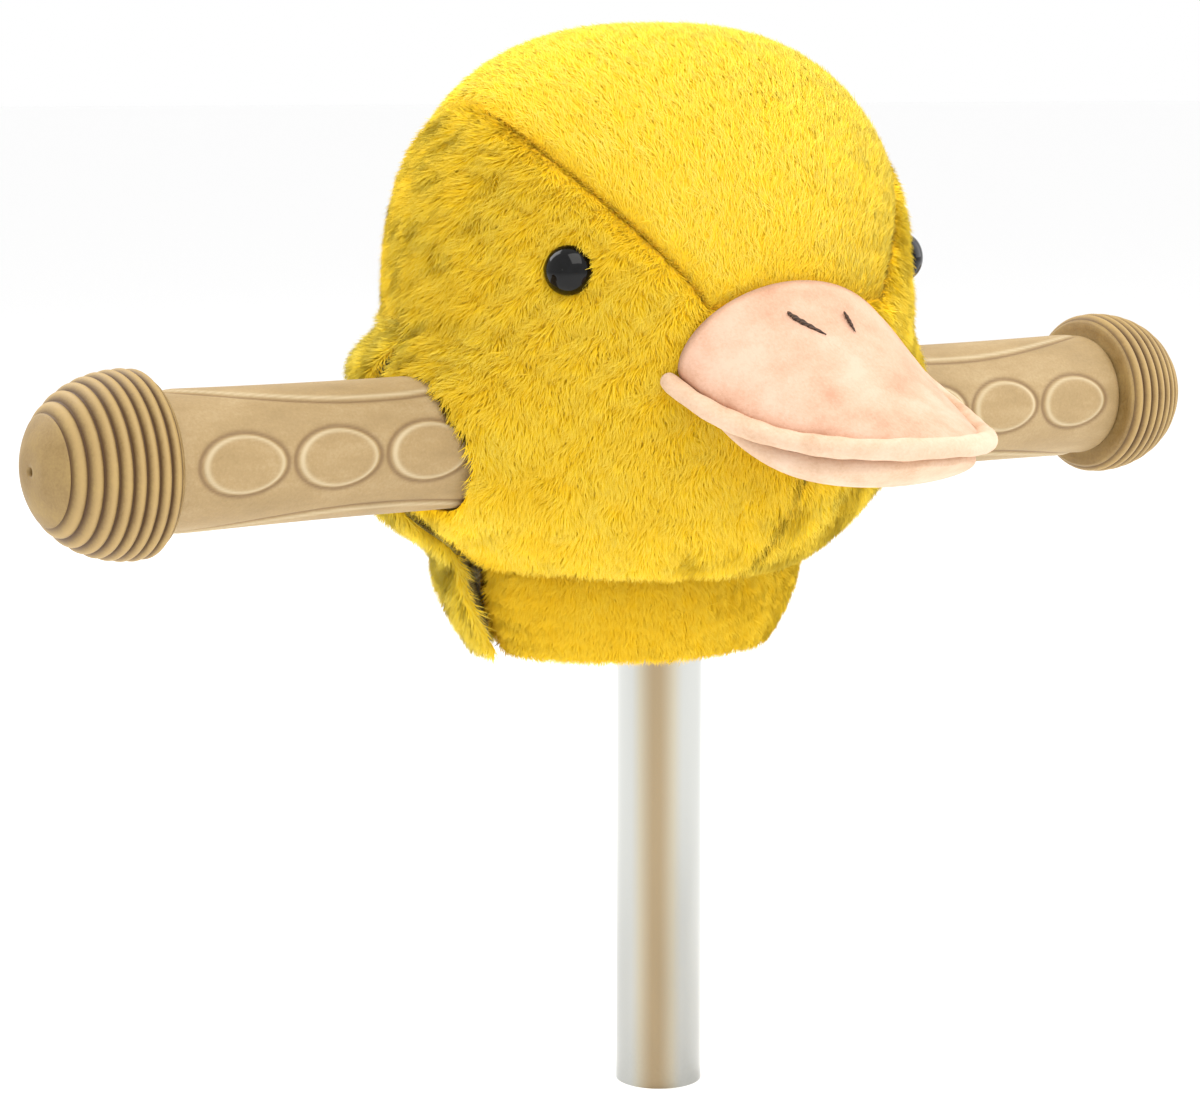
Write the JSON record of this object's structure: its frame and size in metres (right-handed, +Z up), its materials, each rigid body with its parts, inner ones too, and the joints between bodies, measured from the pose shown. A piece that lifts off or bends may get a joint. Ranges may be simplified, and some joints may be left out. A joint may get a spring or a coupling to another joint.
{
  "type": "moving mouth puppet head on a scooter handlebar",
  "caption": "Plush duckling head cover with a hinged lower bill, closed round a child's scooter T-bar with soft grips and ribbed bar ends.",
  "frame": {"origin": "centre of the stem's lower end, on the stem's axis", "axes": "+Z up the stem, +X along the cross tube to the rider's left, bill towards -Y"},
  "size_m": [0.349, 0.1893, 0.2738],
  "materials": {
    "chromed_tube": "bright chromed steel tube",
    "weld": "fillet weld, plated over",
    "grip_rubber": "moulded thermoplastic rubber, matt",
    "bar_end_rubber": "moulded thermoplastic rubber, ribbed",
    "crown_plush": "short dense plush pile, bright yellow",
    "cheek_plush": "short plush pile, golden yellow",
    "neck_plush": "short plush pile, amber yellow",
    "flap_plush": "short plush pile, golden yellow",
    "filling": "polyester fibre filling",
    "lining_cloth": "woven polyester lining",
    "bill_velour": "brushed velour, peach",
    "rim_velour": "brushed velour rolled and sewn",
    "mouth_velour": "brushed velour, deeper peach",
    "thread": "twisted embroidery thread",
    "eye_plastic": "polished black safety eye",
    "washer_plastic": "moulded locking washer",
    "loop_tape": "loop side of a hook-and-loop tape",
    "hook_tape": "hook side of a hook-and-loop tape"
  },
  "bodies": {
    "handlebar": {"stem_tube": "chromed_tube", "cross_tube": "chromed_tube", "weld_bead": "weld", "grip_right": "grip_rubber", "grip_left": "grip_rubber", "bar_end_right": "bar_end_rubber", "bar_end_left": "bar_end_rubber"},
    "head": {"crown_panel": "crown_plush", "cheek_right": "cheek_plush", "cheek_left": "cheek_plush", "neck_band": "neck_plush", "head_filling": "filling", "channel_lining": "lining_cloth", "upper_bill": "bill_velour", "bill_rim": "rim_velour", "mouth_roof": "mouth_velour", "nostril_stitches": "thread", "eye_right": "eye_plastic", "eye_left": "eye_plastic", "eye_washer_right": "washer_plastic", "eye_washer_left": "washer_plastic", "loop_patch_right": "loop_tape", "loop_patch_left": "loop_tape"},
    "jaw": {"lower_bill": "bill_velour", "lower_bill_lining": "mouth_velour"},
    "flap": {"back_flap": "flap_plush", "flap_wadding": "filling", "flap_lining": "lining_cloth", "hook_patch_right": "hook_tape", "hook_patch_left": "hook_tape"}
  },
  "joints": [
    {"name": "head_nod", "type": "hinge", "parent": "handlebar", "child": "head", "pos_m": [0, 0, 0.172], "axis": [1, 0, 0], "range_deg": [-3, 3]},
    {"name": "mouth_open", "type": "hinge", "parent": "head", "child": "jaw", "pos_m": [0, -0.062, 0.184], "axis": [1, 0, 0], "range_deg": [0, 22]},
    {"name": "flap_lift", "type": "hinge", "parent": "head", "child": "flap", "pos_m": [0, 0.0668, 0.2], "axis": [1, 0, 0], "range_deg": [0, 75]}
  ]
}
